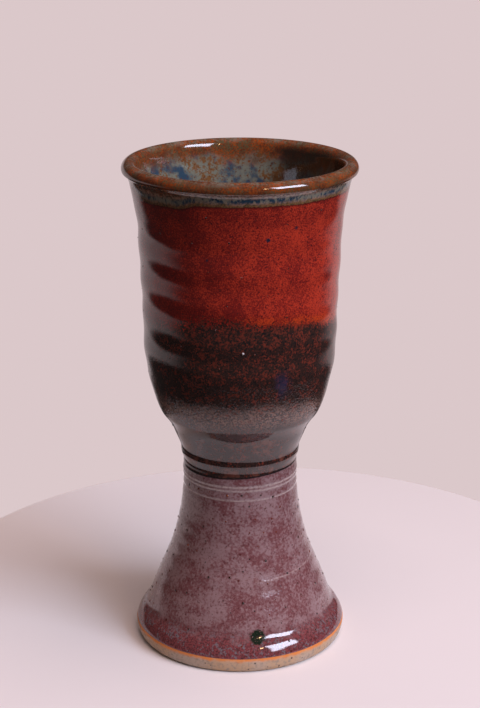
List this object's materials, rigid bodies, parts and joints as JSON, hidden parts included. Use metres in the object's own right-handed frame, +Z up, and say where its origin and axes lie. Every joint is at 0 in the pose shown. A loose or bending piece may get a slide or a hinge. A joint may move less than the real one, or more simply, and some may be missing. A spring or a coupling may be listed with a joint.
{
  "type": "communion chalice",
  "caption": "Stoneware communion chalice: deep thrown cup with a beaded lip, luted to a hollow flared pedestal, under banded glazes.",
  "frame": {"origin": "centre of the foot ring's resting face, at the height the chalice stands on", "axes": "+Z up along the axis the pot was turned about, through the foot and the mouth; the pot is round, so X and Y are free"},
  "size_m": [0.0834, 0.0834, 0.18],
  "materials": {
    "stoneware": "bare fired stoneware, matt, slightly gritty",
    "luting_slip": "bare fired slip, matt",
    "liner_glaze": "glossy, mottled blue-green and ochre",
    "rim_glaze": "glossy, breaking orange-brown over the lip, blue at its lower edge",
    "red_glaze": "glossy iron red with fine dark speckle",
    "dark_glaze": "glossy brown-black with red-brown speckle",
    "pedestal_glaze": "satin-gloss plum with rust specks"
  },
  "bodies": {
    "root": {"bowl": "stoneware", "pedestal": "stoneware", "joint_slip": "luting_slip", "joint_collar": "stoneware", "liner_glaze": "liner_glaze", "rim_glaze": "rim_glaze", "red_glaze": "red_glaze", "dark_glaze": "dark_glaze", "pedestal_glaze": "pedestal_glaze"}
  },
  "joints": []
}
